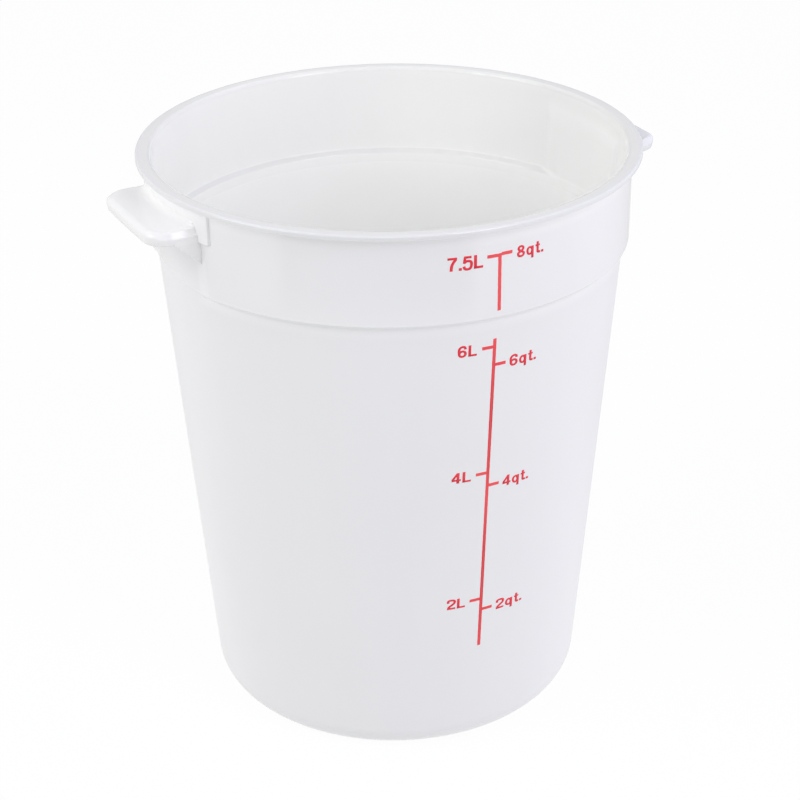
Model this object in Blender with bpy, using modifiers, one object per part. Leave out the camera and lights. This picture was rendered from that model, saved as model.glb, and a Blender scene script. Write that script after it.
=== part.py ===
"""Round food storage bucket with two side handles and a printed fill scale.

Lengths are in metres, +Z is up and the origin is the centre of the base.
The handles lie on the X axis and the scale faces -Y.
"""

import math

import bmesh
import bpy
from mathutils import Matrix, Vector

# Container body
HEIGHT = 0.273
BAND_RADIUS = 0.1095
BAND_TAPER = 0.0003
BAND_LENGTH = 0.0404
BAND_FOOT_ROUND = 0.002
STEP_IN = 0.0026
STEP_DROP = 0.0042
WALL_TAPER = 0.0181
WALL = 0.0022
INNER_STEP_LIFT = 0.0008
CORNER_RADIUS = 0.014

# Rim flange
FLANGE_REACH = 0.0045
FLANGE_THICKNESS = 0.0024
FLANGE_EDGE_ROUND = 0.0011
FLANGE_ROOT_ROUND = 0.0008
RIM_ROUND = 0.0035

# Base
FLOOR = 0.0026
FOOT_WIDTH = 0.012
FOOT_HEIGHT = 0.0012

# Recess behind each handle: a flat cut whose middle stops at a rounded floor
RECESS_HALF_WIDTH = 0.0336
RECESS_DROP = 0.0135
RECESS_TOP_DEPTH = 0.0015
RECESS_RAMP = 0.0024
RECESS_SEAT = 0.0001
PANEL_LIFT = 0.0018

# Handle grip, a plate with a lip, open underneath
GRIP_HALF_LENGTH = 0.0306
GRIP_REACH = 0.0183
GRIP_DROP = 0.0112
GRIP_DEPTH = 0.0058
GRIP_PLATE = 0.003
GRIP_LIP = 0.0025
GRIP_CORNER = 0.007
GRIP_BOW = 0.0006
GRIP_EDGE_ROUND = 0.0012
GRIP_ROOT_ROUND = 0.003

# Handle end webs and backing pad
WEB_THICKNESS = 0.0025
WEB_INSET = 0.0009
WEB_DRAFT = 0.0012
WEB_REACH = 0.0073
WEB_DROP = 0.0069
PAD_HALF_WIDTH = 0.0365
PAD_RISE = 0.0012
PAD_LENGTH = 0.0153
PAD_CORNER = 0.0015
PAD_EDGE = 0.0005

# Printed scale
SCALE_BEARING = math.radians(-92.8)
SCALE_STROKE = 0.0016
SCALE_TICK = 0.0058
SCALE_DROP = 0.0138
SCALE_FOOT = 0.0008
INK = 0.0002
LOWER_STEM_SHARES = (0.25, 0.959)
LITRE_TICK_SHARES = (0.366, 0.665, 0.942)
QUART_TICK_SHARES = (0.34, 0.636, 0.903)

# Clearance between neighbours, overrun of cutters and weld distance
GAP = 0.0003
OVERRUN = 0.006
WELD = 0.00001

# Fineness of the round shapes
SIDES = 96
ARC_STEP = math.radians(22.5)
SHARP_ANGLE = math.radians(32)

# Heights and radii that follow from the sizes above
BAND_FOOT = HEIGHT - BAND_LENGTH
STEP = BAND_FOOT - STEP_DROP
FLANGE_UNDERSIDE = HEIGHT - FLANGE_THICKNESS
RIM_RADIUS = BAND_RADIUS + FLANGE_REACH
BAND_FOOT_RADIUS = BAND_RADIUS - BAND_TAPER
STEP_RADIUS = BAND_FOOT_RADIUS - STEP_IN
BASE_RADIUS = STEP_RADIUS - WALL_TAPER
WALL_SLOPE = WALL_TAPER / STEP
WALL_ACROSS = WALL * math.hypot(1, WALL_SLOPE)
FLOOR_TOP = FOOT_HEIGHT + FLOOR
GRIP_TOP = HEIGHT - GRIP_DROP
GRIP_FOOT = GRIP_TOP - GRIP_DEPTH
PAD_RADIUS = BAND_RADIUS + PAD_RISE
RECESS_TOP = HEIGHT - RECESS_DROP
RECESS_FLAT = math.sqrt(BAND_RADIUS ** 2 - RECESS_HALF_WIDTH ** 2)
HANDLE_ROOT = RECESS_FLAT - OVERRUN

PARTS = bpy.data.collections.new("food_storage_container")
CUTTERS = bpy.data.collections.new("cutters")


def wall_radius(height):
    """Outer radius of the tapered lower wall, also where it is carried up past the step."""
    return BASE_RADIUS + WALL_SLOPE * height


def band_radius(height):
    """Outer radius of the band between its foot and the rim."""
    return BAND_RADIUS - BAND_TAPER * (HEIGHT - height) / BAND_LENGTH


def recess_radius(height):
    """Radius of the rounded recess floor, from the step up to the recess's top edge."""
    top = BAND_RADIUS - RECESS_TOP_DEPTH
    foot = STEP_RADIUS + RECESS_SEAT
    return foot + (top - foot) * (height - STEP) / (RECESS_TOP - STEP)


def rounded(corners, closed=False):
    """Outline through corners (across, up, fillet radius), each radius kept within its edges."""
    points = []
    for index, (across, up, radius) in enumerate(corners):
        corner = Vector((across, up))
        at_end = not closed and index in (0, len(corners) - 1)
        if radius == 0 or at_end:
            points.append(corner)
            continue
        before = Vector(corners[index - 1][:2]) - corner
        after = Vector(corners[(index + 1) % len(corners)][:2]) - corner
        half = before.angle(after) / 2
        reach = min(radius / math.tan(half), before.length / 2, after.length / 2)
        bisector = (before.normalized() + after.normalized()).normalized()
        centre = corner + bisector * reach / math.cos(half)
        first = corner + before.normalized() * reach - centre
        last = corner + after.normalized() * reach - centre
        sweep = math.copysign(math.pi - 2 * half, first.cross(last))
        count = max(1, math.ceil(abs(sweep) / ARC_STEP))
        for step in range(count + 1):
            points.append(centre + Matrix.Rotation(sweep * step / count, 2) @ first)
    return points


def linked(name, data, collection):
    """New object for the data, in the collection."""
    piece = bpy.data.objects.new(name, data)
    collection.objects.link(piece)
    if collection is CUTTERS:
        piece.hide_render = True
        piece.display_type = "WIRE"
    return piece


def turned(name, outline, closed=False):
    """Solid of revolution round Z. The outline runs down its outer side."""
    mesh = bpy.data.meshes.new(name)
    edges = [(index, index + 1) for index in range(len(outline) - 1)]
    if closed:
        edges.append((len(outline) - 1, 0))
    mesh.from_pydata([(point.x, 0, point.y) for point in outline], edges, [])
    piece = linked(name, mesh, CUTTERS)
    screw = piece.modifiers.new("turn", "SCREW")
    screw.axis = "Z"
    screw.angle = math.tau
    screw.steps = SIDES
    screw.render_steps = SIDES
    screw.use_merge_vertices = True
    screw.merge_threshold = WELD
    return piece


def plate(name, outline, thickness, placing):
    """Flat outline of the given thickness, centred on its own XY plane and then placed."""
    curve = bpy.data.curves.new(name, "CURVE")
    curve.dimensions = "2D"
    curve.fill_mode = "BOTH"
    curve.extrude = thickness / 2
    spline = curve.splines.new("POLY")
    spline.points.add(len(outline) - 1)
    for target, point in zip(spline.points, outline):
        target.co = (point.x, point.y, 0, 1)
    spline.use_cyclic_u = True
    drawn = linked(name + "_outline", curve, CUTTERS)
    drawn.matrix_world = placing
    piece = linked(name, solid_mesh(drawn), CUTTERS)
    bpy.data.objects.remove(drawn)
    return piece


def solid_mesh(source):
    """Mesh of the object as its modifiers leave it, welded and in world coordinates."""
    bpy.context.view_layer.update()
    drawn = source.evaluated_get(bpy.context.evaluated_depsgraph_get())
    mesh = bpy.data.meshes.new_from_object(drawn)
    mesh.transform(source.matrix_world)
    shape = bmesh.new()
    shape.from_mesh(mesh)
    bmesh.ops.remove_doubles(shape, verts=shape.verts, dist=WELD)
    bmesh.ops.dissolve_degenerate(shape, edges=shape.edges, dist=WELD)
    shape.to_mesh(mesh)
    shape.free()
    return mesh


def baked(source):
    """Plain copy of the source's solid, ready to be combined."""
    return linked(source.name + "_solid", solid_mesh(source), CUTTERS)


def combine(piece, other, operation):
    """Boolean of the piece with the other one."""
    modifier = piece.modifiers.new(operation.lower(), "BOOLEAN")
    modifier.operation = operation
    modifier.solver = "EXACT"
    modifier.object = other


def rounded_edges(piece, width, segments):
    """Rounds every edge of the piece that is sharper than the sharp angle."""
    modifier = piece.modifiers.new("edges", "BEVEL")
    modifier.width = width
    modifier.segments = segments
    modifier.limit_method = "ANGLE"
    modifier.angle_limit = SHARP_ANGLE


def finished(name, source, finish, turn=0):
    """Final object for the source's solid, turned about Z and shaded smooth."""
    mesh = solid_mesh(source)
    mesh.name = name
    mesh.materials.clear()
    mesh.materials.append(finish)
    mesh.shade_smooth()
    mesh.set_sharp_from_angle(angle=SHARP_ANGLE)
    piece = linked(name, mesh, PARTS)
    piece.rotation_euler.z = turn
    return piece


def material(name, colour, roughness):
    """Plastic or ink of one colour."""
    finish = bpy.data.materials.new(name)
    finish.use_nodes = True
    shader = finish.node_tree.nodes["Principled BSDF"]
    shader.inputs["Base Color"].default_value = (*colour, 1)
    shader.inputs["Roughness"].default_value = roughness
    shader.inputs["Metallic"].default_value = 0
    return finish


def body_outline():
    """Half section of the bucket, up the inside and down the outside."""
    inner_step = STEP + INNER_STEP_LIFT
    inner_band_foot = BAND_FOOT + INNER_STEP_LIFT
    foot_outer = BASE_RADIUS - CORNER_RADIUS
    foot_inner = foot_outer - FOOT_WIDTH
    corners = [
        (0, FLOOR_TOP, 0),
        (wall_radius(FLOOR_TOP) - WALL_ACROSS, FLOOR_TOP, CORNER_RADIUS - WALL),
        (wall_radius(inner_step) - WALL_ACROSS, inner_step, 0),
        (band_radius(inner_band_foot) - WALL, inner_band_foot, BAND_FOOT_ROUND),
        (BAND_RADIUS - WALL, HEIGHT, RIM_ROUND),
        (RIM_RADIUS, HEIGHT, FLANGE_EDGE_ROUND),
        (RIM_RADIUS, FLANGE_UNDERSIDE, FLANGE_EDGE_ROUND),
        (band_radius(FLANGE_UNDERSIDE), FLANGE_UNDERSIDE, FLANGE_ROOT_ROUND),
        (BAND_FOOT_RADIUS, BAND_FOOT, BAND_FOOT_ROUND),
        (STEP_RADIUS, STEP, 0),
        (BASE_RADIUS, 0, CORNER_RADIUS),
        (foot_inner, 0, 0),
        (foot_inner - FOOT_HEIGHT, FOOT_HEIGHT, 0),
        (0, FOOT_HEIGHT, 0),
    ]
    return rounded(corners)


def beyond_flat(piece, flat):
    """Keeps only what lies further out on +X than the flat."""
    shape = bmesh.new()
    bmesh.ops.create_cube(shape, size=2)
    middle = Matrix.Translation((flat + HEIGHT, 0, HEIGHT))
    bmesh.ops.transform(shape, matrix=middle @ Matrix.Scale(HEIGHT, 4), verts=shape.verts)
    mesh = bpy.data.meshes.new(piece.name + "_flat")
    shape.to_mesh(mesh)
    shape.free()
    combine(piece, linked(mesh.name, mesh, CUTTERS), "INTERSECT")


def recess_solid(name, clearance):
    """Space in front of a recess on +X, less a clearance all round."""
    top = RECESS_TOP - clearance
    low = STEP - STEP_DROP
    outside = RIM_RADIUS + OVERRUN
    outline = [
        Vector((recess_radius(top) + clearance, top)),
        Vector((BAND_RADIUS + clearance, top + RECESS_RAMP)),
        Vector((outside, top + RECESS_RAMP)),
        Vector((outside, low)),
        Vector((recess_radius(low) + clearance, low)),
    ]
    recess = turned(name, outline, closed=True)
    beyond_flat(recess, RECESS_FLAT + clearance)
    return recess


def panel_solid():
    """Raised panel on +X that keeps the wall's thickness inside the bucket behind a recess."""
    front = recess_radius(RECESS_TOP) - WALL
    top = RECESS_TOP + PANEL_LIFT
    middle = BAND_FOOT_RADIUS - WALL / 2
    outline = [
        Vector((front, top)),
        Vector((middle, top + RECESS_RAMP * (middle - front) / RECESS_TOP_DEPTH)),
        Vector((middle, BAND_FOOT)),
        Vector((STEP_RADIUS - WALL / 2, STEP)),
        Vector((STEP_RADIUS + RECESS_SEAT - WALL_ACROSS, STEP)),
    ]
    panel = turned("panel", outline, closed=True)
    beyond_flat(panel, RECESS_FLAT - WALL)
    return panel


def make_body(finish):
    """Turned bucket with a recess pressed in from outside behind each handle."""
    shell = turned("bucket", body_outline())
    for shaper, operation in ((panel_solid(), "UNION"), (recess_solid("recess", 0), "DIFFERENCE")):
        mesh = solid_mesh(shaper)
        for side, turn in (("right_", 0), ("left_", math.pi)):
            copy = linked(side + shaper.name, mesh, CUTTERS)
            copy.rotation_euler.z = turn
            combine(shell, copy, operation)
    finished("container_body", shell, finish)


def grip_outline(inset):
    """Plan of the grip on +X, less the inset, with a slightly bowed outer edge."""
    root = HANDLE_ROOT - inset
    front = BAND_RADIUS + GRIP_REACH - inset
    half_length = GRIP_HALF_LENGTH - inset
    corner = GRIP_CORNER - inset
    corners = [
        (root, -half_length, 0),
        (front - GRIP_BOW, -half_length, corner),
        (front, 0, 0),
        (front - GRIP_BOW, half_length, corner),
        (root, half_length, 0),
    ]
    return rounded(corners, closed=True)


def make_grip():
    """Grip plate with its lip: a block whose underside is hollowed out."""
    middle = (GRIP_TOP + GRIP_FOOT) / 2
    grip = plate("grip", grip_outline(0), GRIP_DEPTH, Matrix.Translation((0, 0, middle)))
    rounded_edges(grip, GRIP_EDGE_ROUND, 2)
    hollow_depth = GRIP_DEPTH - GRIP_PLATE + OVERRUN
    hollow_middle = GRIP_TOP - GRIP_PLATE - hollow_depth / 2
    placing = Matrix.Translation((0, 0, hollow_middle))
    combine(grip, plate("hollow", grip_outline(GRIP_LIP), hollow_depth, placing), "DIFFERENCE")
    return grip


def make_webs():
    """Two end webs, each a triangle that leans inwards by its draft."""
    tip = BAND_RADIUS + WEB_REACH
    top = GRIP_TOP - GRIP_PLATE / 2
    foot = GRIP_FOOT - WEB_DROP * (tip - HANDLE_ROOT) / WEB_REACH
    outline = [
        Vector((HANDLE_ROOT, top)),
        Vector((HANDLE_ROOT, foot)),
        Vector((tip, GRIP_FOOT)),
        Vector((tip, top)),
    ]
    upright = Matrix.Rotation(math.radians(90), 4, "X")
    webs = plate("webs", outline, WEB_THICKNESS, upright)
    middle = GRIP_HALF_LENGTH - WEB_INSET - WEB_THICKNESS / 2
    for corner in webs.data.vertices:
        corner.co.y += middle + WEB_DRAFT * (corner.co.z - GRIP_FOOT) / WEB_DROP
    mirror = webs.modifiers.new("both_ends", "MIRROR")
    mirror.use_axis = (False, True, False)
    mirror.merge_threshold = WELD
    return webs


def ring_piece(name, outline, half_width, corner):
    """Stretch of a turned ring on +X, cut to a half width with rounded lower corners."""
    ring = turned(name, outline, closed=True)
    low = min(point.y for point in outline)
    high = max(point.y for point in outline) + OVERRUN
    corners = [
        (-half_width, low, corner),
        (half_width, low, corner),
        (half_width, high, 0),
        (-half_width, high, 0),
    ]
    facing = Matrix.Translation((BAND_RADIUS, 0, 0))
    facing @= Matrix.Rotation(math.radians(90), 4, "Z") @ Matrix.Rotation(math.radians(90), 4, "X")
    depth = 2 * (GRIP_REACH + OVERRUN)
    window = plate(name + "_window", rounded(corners, closed=True), depth, facing)
    combine(ring, window, "INTERSECT")
    return ring


def make_pad():
    """Backing pad that the grip grows from, up to the rim flange."""
    high = FLANGE_UNDERSIDE - GAP
    low = FLANGE_UNDERSIDE - PAD_LENGTH
    outline = rounded([
        (HANDLE_ROOT, high, 0),
        (PAD_RADIUS, high, PAD_EDGE),
        (PAD_RADIUS, low, PAD_EDGE),
        (HANDLE_ROOT, low, 0),
    ], closed=True)
    return ring_piece("pad", outline, PAD_HALF_WIDTH, PAD_CORNER)


def make_grip_root():
    """Hollow fillet between the top of the grip and the pad, its ends sunk in both."""
    reach = 2 * GRIP_ROOT_ROUND
    sunk = PAD_RISE / 2
    outline = rounded([
        (HANDLE_ROOT, GRIP_TOP + reach, 0),
        (PAD_RADIUS - sunk, GRIP_TOP + reach, 0),
        (PAD_RADIUS, GRIP_TOP, GRIP_ROOT_ROUND),
        (PAD_RADIUS + reach, GRIP_TOP - sunk, 0),
        (HANDLE_ROOT, GRIP_TOP - sunk, 0),
    ], closed=True)
    return ring_piece("grip_root", outline, GRIP_HALF_LENGTH - GRIP_ROOT_ROUND, 0)


def make_wall_clearance():
    """Solid that keeps the handle clear of the band and of the recess."""
    low = STEP - STEP_DROP / 2
    corners = [
        (0, HEIGHT + OVERRUN, 0),
        (band_radius(HEIGHT) + GAP, HEIGHT + OVERRUN, 0),
        (band_radius(low) + GAP, low, 0),
        (0, low, 0),
    ]
    clearance = turned("wall_clearance", rounded(corners))
    combine(clearance, recess_solid("recess_clearance", GAP), "DIFFERENCE")
    return clearance


def make_handles(finish):
    """Grip, root fillet, pad and webs as one body, used for both sides."""
    handle = make_grip()
    for member in (make_grip_root(), make_webs(), make_pad()):
        combine(handle, baked(member), "UNION")
    combine(handle, baked(make_wall_clearance()), "DIFFERENCE")
    for name, turn in (("right_handle", 0), ("left_handle", math.pi)):
        finished(name, handle, finish, turn)


def comb_outline(low, high, left_ticks, right_ticks):
    """Outline of an upright stroke with ticks at the given heights on its two sides."""
    half = SCALE_STROKE / 2
    points = [Vector((-half, low)), Vector((half, low))]
    for height in right_ticks:
        for across, shift in ((half, -half), (SCALE_TICK, -half), (SCALE_TICK, half), (half, half)):
            points.append(Vector((across, height + shift)))
    points += [Vector((half, high)), Vector((-half, high))]
    for height in reversed(left_ticks):
        for across, shift in ((half, half), (SCALE_TICK, half), (SCALE_TICK, -half), (half, -half)):
            points.append(Vector((-across, height + shift)))
    return [point for point, before in zip(points, points[-1:] + points) if (point - before).length > WELD]


def make_scale(name, outline, surface, low, high, finish):
    """Ink in the shape of the outline, wrapped on a wall whose radius the surface gives."""
    ring_outline = [
        Vector((surface(high) + GAP + INK, high)),
        Vector((surface(low) + GAP + INK, low)),
        Vector((surface(low) + GAP, low)),
        Vector((surface(high) + GAP, high)),
    ]
    ring = turned(name + "_ring", ring_outline, closed=True)
    facing = Matrix.Rotation(SCALE_BEARING, 4, "Z") @ Matrix.Translation((BAND_RADIUS, 0, 0))
    facing @= Matrix.Rotation(math.radians(90), 4, "Z") @ Matrix.Rotation(math.radians(90), 4, "X")
    combine(ring, plate(name + "_shape", outline, BAND_RADIUS, facing), "INTERSECT")
    finished(name, ring, finish)


def make_scales(finish):
    """Upper stroke on the band and lower stroke with its ticks on the tapered wall."""
    upper_low = BAND_FOOT + SCALE_FOOT
    upper_high = HEIGHT - SCALE_DROP
    top_tick = [upper_high - SCALE_STROKE / 2]
    upper = comb_outline(upper_low, upper_high, top_tick, top_tick)
    make_scale("upper_scale_line", upper, band_radius, BAND_FOOT, FLANGE_UNDERSIDE, finish)
    lower_low, lower_high = (share * STEP for share in LOWER_STEM_SHARES)
    litre_ticks = [share * STEP for share in LITRE_TICK_SHARES]
    quart_ticks = [share * STEP for share in QUART_TICK_SHARES]
    lower = comb_outline(lower_low, lower_high, litre_ticks, quart_ticks)
    make_scale("lower_scale_line", lower, wall_radius, CORNER_RADIUS, STEP, finish)


def main():
    """Builds the whole container."""
    for old in list(bpy.data.objects):
        bpy.data.objects.remove(old)
    for collection in (PARTS, CUTTERS):
        bpy.context.scene.collection.children.link(collection)
    make_body(material("white_polyethylene", (0.82, 0.82, 0.83), 0.42))
    make_handles(material("white_handle", (0.82, 0.82, 0.83), 0.4))
    make_scales(material("red_ink", (0.78, 0.08, 0.09), 0.45))


main()
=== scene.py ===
import math

import bpy
import numpy as np
from mathutils import Matrix, Vector


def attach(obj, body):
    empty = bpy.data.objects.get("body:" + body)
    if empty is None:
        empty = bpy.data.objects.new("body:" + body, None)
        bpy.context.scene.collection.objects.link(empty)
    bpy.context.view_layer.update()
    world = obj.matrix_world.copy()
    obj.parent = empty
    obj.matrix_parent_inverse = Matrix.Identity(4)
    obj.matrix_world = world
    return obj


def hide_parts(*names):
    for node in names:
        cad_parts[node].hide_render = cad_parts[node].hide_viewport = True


# Round white food storage bucket with two moulded handles and a printed fill scale.
# Shapes are worked out in millimetres, with +Z up, the handles on X and the scale facing -Y.

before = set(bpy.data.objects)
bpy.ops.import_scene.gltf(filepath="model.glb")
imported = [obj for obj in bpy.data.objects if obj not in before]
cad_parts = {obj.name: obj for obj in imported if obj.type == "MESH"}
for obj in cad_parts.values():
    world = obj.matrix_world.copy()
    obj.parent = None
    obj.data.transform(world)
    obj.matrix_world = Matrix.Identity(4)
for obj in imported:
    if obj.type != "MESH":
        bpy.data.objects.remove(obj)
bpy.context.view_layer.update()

MM = 0.001

# Heights and radii of the bucket
TOP = 273.0
FLANGE_FOOT = 270.6
BAND_FOOT = 230.4
STEP = 228.4
RIM_RADIUS = 114.0
BAND_TOP_RADIUS = 109.5
BAND_FOOT_RADIUS = 109.2
STEP_RADIUS = 106.6
BASE_RADIUS = 88.5
WALL = 2.2
FLOOR_TOP = 3.8
LIFT = 1.2
LEDGE_RADIUS = 104.5
LEDGE_FOOT = 229.1
LEDGE_WIDTH = 2.3
LEDGE_RISE = 1.9
CORNER_ROUND = 14.0
INNER_CORNER_ROUND = 11.8
FOOT_RING_RADIUS = 62.5
FOOT_RING_BEVEL = 1.2
GATE_RADIUS = 2.4
GATE_BEVEL = 0.8
GATE_DEPTH = 0.6
FLOOR_POLE = 1.0
GATE_POLE = 0.6
RIM_SEAM = 0.4

# Mesh of the bucket: angles in degrees and numbers of steps across and between the cuts, and
# the longest steps up the wall, which are short across the zone of the ramps above the cuts
CUT_SPAN = 20
FINE_COUNT = 150
COARSE_COUNT = 116
RAMP_ZONE = (254, 265.5)
ZONE_STEP = 0.6
BAND_STEP = 3.0
WALL_STEP = 16.0

# Flat cut behind each handle, outside and as the panel that it raises inside. Each line has two
# (height, x or radius) points
OUTER_FLAT = ((235.0, 104.2), (256.0, 105.0))
OUTER_FLOOR = ((227.0, 106.49), (259.5, 108.0))
OUTER_RAMP = ((259.5, 108.0), (261.9, 109.5))
INNER_FLAT = ((235.0, 102.4), (256.0, 102.4))
INNER_FLOOR = ((235.0, 104.9), (260.0, 106.1))
INNER_RAMP = ((261.3, 105.85), (263.6, 107.3))
OUTER_SOFTNESS = 0.5
INNER_SOFTNESS = 0.35
LEAST_COSINE = 0.2

# Handle
ROOT_RADIUS = 107.6
GRIP_TOP = 261.8
GRIP_FOOT = 256.0
GRIP_UNDERSIDE = 258.8
GRIP_HALF = 30.6
GRIP_FRONT = 127.8
GRIP_BOW = 0.6
GRIP_CORNER = 9.5
GRIP_ROOT_CORNER = 3.7
GRIP_FRONT_ROUND = (3.0, 2.2)
GRIP_TOP_DEPTH = 0.9
FILLET = 3.2
FILLET_FADE = (4.5, 0.5)
PAD_RADIUS = 110.7
PAD_HALF = 36.5
PAD_FOOT = 255.3
PAD_HEAD = 272.0
PAD_MIDDLE = 263.0
PAD_ROUND = 0.7
PAD_FOOT_CORNER = 1.6
PAD_HEAD_CORNER = 1.1
WEB_TIP = 116.8
WEB_FOOT = 255.9
WEB_SLOPE = 0.94
WEB_LEAN = 0.147
WEB_THICKNESS = 2.5
WEB_ROOT = 103.2
WEB_HEAD = 259.6
WEB_FACE = 30.42
WEB_MIDDLE = (108.0, 254.5)
WEB_ROUND = 0.4
WEB_CORNER = 0.6
WEB_TIP_CORNER = 0.7

# Stations (inset, depth) of the bevel along the grip's ends, how squarely an edge faces the end
# where the bevel begins and is complete, and how the grip's covers shrink
BEVEL = [(2.2, 0), (1.75, 0.01), (1.6, 0.06), (1.5, 0.2), (1.1, 0.93), (0.35, 2.29), (0.1, 2.74),
         (0.02, 2.95)]
BEVEL_TURN = (0.5, 0.95)
COVER_SHARES = (0.1, 0.25, 0.4, 0.52, 0.62, 0.7, 0.76, 0.81, 0.85, 0.89, 0.92, 0.95, 0.975)

# Printed scale
SCALE_BEARING = math.radians(-92.8)
STROKE = 1.55
TICK = 5.8
INK_HEIGHT = 0.06
INK_SUNK = 0.05
BAR_CORNER = 0.12
WAVER = 0.04
STROKE_LAYER = 0.004
UPPER_STEM = (233.4, 259.2)
UPPER_LITRE_TICK = (257.7, 259.2)
UPPER_QUART_TICK = (258.1, 259.6)
LOWER_STEM = (57.0, 219.1)
LITRE_TICKS = (215.2, 152.0, 83.7)
QUART_TICKS = (206.3, 145.2, 77.6)

# Studio surround: how bright it is, where 1 is white, and between which shares of a direction
# one level goes over into the next
FRONT_LEVEL = 0.09
RIGHT_LEVEL = 1.18
LEFT_LEVEL = 0.82
REAR_LEVEL = 0.45
DOME_LEVEL = 1.12
TOP_LEVEL = 0.17
SIDE_RANGE = (0.15, 0.95)
REAR_RANGE = (0.1, 0.9)
DOME_RANGE = (0.3, 0.75)
TOP_RANGE = (0.75, 0.95)
TINT_RANGE = (-0.6, 0.8)
RIGHTWARDS = (0.8912, -0.4535, 0)
BACKWARDS = (0.4535, 0.8912, 0)
UPWARDS = (0, 0, 1)
LEFT_TINT = (1.0, 1.0, 1.0, 1)
RIGHT_TINT = (0.975, 0.975, 1.07, 1)

# Studio floor, with the grey card that the band mirrors. SHARE is how much of a kind of ray sees
# plain white in place of the shaded floor
CARD_BEARING = math.radians(-123)
CARD_HALF = math.radians(42)
CARD_NEAR = 0.6
CARD_EDGE = 0.03
CARD_BORDER = (-0.01, 0.03)
CARD_DARKNESS = 0.9
REAR_DARKNESS = 0.3
REAR_FADE = (-0.2, -0.95)
FLOOR_REACH = 7.0
FLOOR_DROP = 0.0002
FLOOR_TONE = (0.7, 0.7, 0.7, 1)
FLOOR_TONE_SEEN = (0.95, 0.95, 0.95, 1)
SEEN_SHARE = 0.93
LIT_SHARE = 0.6
FLOOR_GLOW = 0.75
SEEN_GLOW = 0.25

# Soft boxes: bearing, width, height, power and colour; all tilted towards one point
LAMPS = {
    "left_soft_box": (math.radians(180), 1.2, 1.15, 9.6, (1, 1, 1)),
    "right_soft_box": (math.radians(-74), 0.7, 1.15, 8.5, (0.97, 0.97, 1.01)),
}
LAMP_REACH = 1.5
LAMP_HEIGHT = 1.2
LAMP_AIM = (0, 0, 0.2)

# Camera solved from the photograph, in metres
CAMERA_PLACE = (-0.388581, -0.762633, 0.578444)
CAMERA_AIM = (0.003151, -0.001622, 0.141374)
CAMERA_LENS = 89.958
CAMERA_ROLL = math.radians(-0.699)

# Painted glow: emission that stands in for light through the wall, as ramps (from, to, at from,
# at to) by height in metres: more at the foot, under the step and the flange, where it lifts the
# shade. BACKLIT points to the far side, where more comes through
BACKLIT = (0.3, 0.954, 0)
BACKLIT_RANGE = (0.05, 0.105)
OUTER_GLOW = ((0.0, 0.012, 2.4, 1.0), (0.262, 0.2702, 1.0, 2.2), (0.2706, 0.2712, 1.0, 0.12))
STEP_GLOW = ((0.222, 0.228, 1.0, 1.5), (0.2302, 0.232, 1.0, 0.667))
INNER_GLOW = ((0.004, 0.03, 0.6, 1.0),)
DEEP_GLOW = 0.8
DEEP_TOP = 0.17
# Painted shade: the inside's tone is darker at the top of the rim and along the ledge, where the
# second ledge ramp brings it back
INNER_RIM_PAINTED_SHADE = ((0.2706, 0.2724, 1.0, 0.9),)
LEDGE_PAINTED_SHADE = ((0.2286, 0.2294, 1.0, 0.86), (0.2306, 0.2313, 1.0, 1.163))
HANDLE_GLOW = ((0.264, 0.2702, 1.0, 2.0),)

# Distances from the middle, along X, over which the ledge's painted shade and the step's painted
# glow end at the flats
LEDGE_END = (0.1005, 0.1022)
STEP_END = (0.103, 0.1045)

# White finishes. Roughness is (below, above, height of the change). The light through the wall is a
# painted glow (emission) with a level, height ramps, a share that is left away from the far side,
# and either more along the step or more towards the floor. The painted shade and the ledge ramps are
# height ramps of the tone. The inside is painted lighter and the far handle darker than the rest
WHITES = {
    "outer_white": dict(main=(0.797, 0.797, 0.81), second=(0.787, 0.787, 0.8),
                        roughness=(0.4, 0.1, 0.231), level=0.078, ramps=OUTER_GLOW,
                        step=STEP_GLOW),
    # Painted light: the inside has a lighter tone than the outside of the same plastic
    "inner_white": dict(main=(0.913, 0.913, 0.901), second=(0.903, 0.903, 0.891),
                        roughness=(0.3, 0.1, 0.226), level=0.06, ramps=INNER_GLOW,
                        near_share=0.1, deep=DEEP_GLOW, painted_shades=INNER_RIM_PAINTED_SHADE,
                        ledge=LEDGE_PAINTED_SHADE),
    "handle_white": dict(main=(0.85, 0.85, 0.855), second=(0.84, 0.84, 0.845),
                         roughness=(0.25, 0.14, 0.25), level=0.07, ramps=HANDLE_GLOW),
    # Painted shade: the far handle has a darker tone and less glow than the near one of the same
    # plastic
    "far_handle_painted_shade": dict(main=(0.8, 0.81, 0.835), second=(0.79, 0.8, 0.825),
                             roughness=(0.25, 0.2, 0.25), level=0.035, ramps=HANDLE_GLOW),
}
PLASTIC_IOR = 1.5
GLOSS_BORDER = 0.002
WEAR = 0.06
GRAIN_SCALE = 1500.0
GRAIN_STRENGTH = 0.12
GRAIN_DEPTH = 0.0002

# Patterns that all finishes share: scales per metre, and the noise values between which a
# pattern goes over from nothing to full
COARSE_GRAIN = 0.12
PATCH_SCALE = 14.0
PATCH_SHARE = 0.6
PATCH_RANGE = (0.35, 0.65)
STREAK_SCALE = (60, 60, 5)
UPRIGHT_SCUFF_SCALE = (900, 900, 40)
UPRIGHT_SCUFF_RANGE = (0.68, 0.8)
LEVEL_SCUFF_SCALE = (50, 50, 1400)
LEVEL_SCUFF_RANGE = (0.7, 0.82)
SCUFF_SHARE = 0.5
DULL_SCALE = 22.0
DULL_RANGE = (0.42, 0.72)

# Red inks: main and second tone
INKS = {
    "printed_red": ((0.88, 0.055, 0.07), (0.93, 0.09, 0.1)),
    "printed_deep_red": ((0.82, 0.02, 0.045), (0.86, 0.035, 0.06)),
}
INK_ROUGHNESS = 0.45
INK_WEAR = 0.1
INK_GRAIN_SCALE = 2200.0
INK_GRAIN_STRENGTH = 0.2


# Small curves and surfaces


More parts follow.
